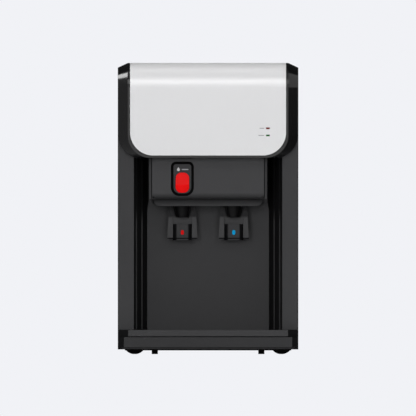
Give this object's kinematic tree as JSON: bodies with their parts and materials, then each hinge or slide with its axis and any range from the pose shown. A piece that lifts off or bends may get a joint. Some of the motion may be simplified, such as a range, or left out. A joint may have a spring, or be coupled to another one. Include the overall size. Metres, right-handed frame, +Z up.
{
  "type": "benchtop water dispenser",
  "caption": "Benchtop hot and cold water dispenser with a silver fascia, push-back taps in a niche, a red safety button and a pull-out drip tray.",
  "frame": {"origin": "centre of the footprint, on the floor under the feet", "axes": "+Z up, -Y towards the user (the front with the taps), +X to the right seen from the front"},
  "size_m": [0.31, 0.36, 0.5],
  "materials": {
    "charcoal": "satin",
    "gloss_black": "polished",
    "silver": "satin",
    "grille_black": "satin",
    "button_red": "gloss",
    "mark_red": "gloss",
    "mark_blue": "gloss",
    "lens_red": "gloss",
    "lens_green": "gloss",
    "rubber": "matte",
    "steel": "satin",
    "sheet": "satin",
    "zinc": "satin",
    "black_steel": "gloss",
    "copper": "satin",
    "white_plastic": "satin",
    "foam": "matte",
    "hose": "satin",
    "board_green": "satin",
    "switch_red": "gloss",
    "switch_blue": "gloss"
  },
  "bodies": {
    "cabinet": {"base_plinth": "charcoal", "front_feet": "rubber", "rear_feet": "rubber", "left_side_panel": "charcoal", "right_side_panel": "charcoal", "top_cover": "gloss_black", "head_bezel": "gloss_black", "fascia_panel": "silver", "hot_indicator": "lens_red", "power_indicator": "lens_green", "indicator_board": "board_green", "niche_liner": "charcoal", "tap_housing": "charcoal", "safety_plate": "charcoal", "safety_spring": "steel", "safety_guide": "grille_black", "hot_tap_body": "grille_black", "hot_spout": "gloss_black", "hot_spring": "steel", "cold_tap_body": "grille_black", "cold_spout": "gloss_black", "cold_spring": "steel", "lever_pins": "steel", "tap_nuts": "grille_black", "rear_plate": "sheet", "rear_screws": "zinc", "condenser_tube": "black_steel", "condenser_wires": "black_steel", "condenser_brackets": "zinc", "compressor": "black_steel", "compressor_grommets": "rubber", "tank_shelf": "zinc", "cold_tank": "steel", "cold_tank_lid": "white_plastic", "evaporator_coil": "copper", "tank_insulation": "foam", "hot_tank": "steel", "heater_band": "zinc", "float_valve": "white_plastic", "water_hoses": "hose", "refrigerant_lines": "copper", "inlet_fitting": "white_plastic", "switch_frame": "gloss_black", "cord_gland": "gloss_black", "control_box": "white_plastic"},
    "tray": {"drip_tray": "charcoal"},
    "grille": {"drip_grille": "grille_black"},
    "hot_lever": {"hot_lever": "charcoal", "hot_paddle_pad": "gloss_black", "hot_mark": "mark_red"},
    "hot_stem": {"hot_stem": "white_plastic"},
    "cold_lever": {"cold_lever": "charcoal", "cold_paddle_pad": "gloss_black", "cold_mark": "mark_blue"},
    "cold_stem": {"cold_stem": "white_plastic"},
    "safety_button": {"safety_button": "button_red"},
    "hot_switch": {"hot_switch": "switch_red"},
    "cold_switch": {"cold_switch": "switch_blue"},
    "float_arm": {"float_arm": "white_plastic"},
    "drain_cap": {"drain_cap": "grille_black"}
  },
  "joints": [
    {"name": "tray_slide", "type": "slide", "parent": "cabinet", "child": "tray", "axis": [0, -1, 0], "range_m": [0, 0.12]},
    {"name": "grille_lift", "type": "slide", "parent": "tray", "child": "grille", "axis": [0, 0, 1], "range_m": [0, 0.04]},
    {"name": "hot_lever_push", "type": "hinge", "parent": "cabinet", "child": "hot_lever", "pos_m": [-0.0441, -0.115, 0.3004], "axis": [1, 0, 0], "range_deg": [0, 9], "stiffness_Nm_per_rad": 1.2, "springref_deg": -3.44},
    {"name": "hot_stem_lift", "type": "slide", "parent": "cabinet", "child": "hot_stem", "axis": [0, 0, 1], "range_m": [0, 0.0022], "deforming": ["hot_spring"]},
    {"name": "cold_lever_push", "type": "hinge", "parent": "cabinet", "child": "cold_lever", "pos_m": [0.0441, -0.115, 0.3004], "axis": [1, 0, 0], "range_deg": [0, 9], "stiffness_Nm_per_rad": 1.2, "springref_deg": -3.44},
    {"name": "cold_stem_lift", "type": "slide", "parent": "cabinet", "child": "cold_stem", "axis": [0, 0, 1], "range_m": [0, 0.0022], "deforming": ["cold_spring"]},
    {"name": "safety_push", "type": "slide", "parent": "cabinet", "child": "safety_button", "axis": [0, 1, 0], "range_m": [0, 0.0035], "stiffness_N_per_m": 260, "springref_m": -0.004, "deforming": ["safety_spring"]},
    {"name": "hot_switch_rock", "type": "hinge", "parent": "cabinet", "child": "hot_switch", "pos_m": [-0.1125, 0.147, 0.096], "axis": [-1, 0, 0], "range_deg": [0, 16]},
    {"name": "cold_switch_rock", "type": "hinge", "parent": "cabinet", "child": "cold_switch", "pos_m": [-0.0875, 0.147, 0.096], "axis": [-1, 0, 0], "range_deg": [0, 16]},
    {"name": "float_rise", "type": "hinge", "parent": "cabinet", "child": "float_arm", "pos_m": [0.0584, 0.0406, 0.3655], "axis": [0, -1, 0], "range_deg": [0, 20]},
    {"name": "drain_cap_pull", "type": "slide", "parent": "cabinet", "child": "drain_cap", "axis": [0, 1, 0], "range_m": [0, 0.025]}
  ],
  "couplings": [
    {"joint": "hot_stem_lift", "follows": "hot_lever_push", "m_per_rad": 0.013942},
    {"joint": "cold_stem_lift", "follows": "cold_lever_push", "m_per_rad": 0.013942}
  ]
}
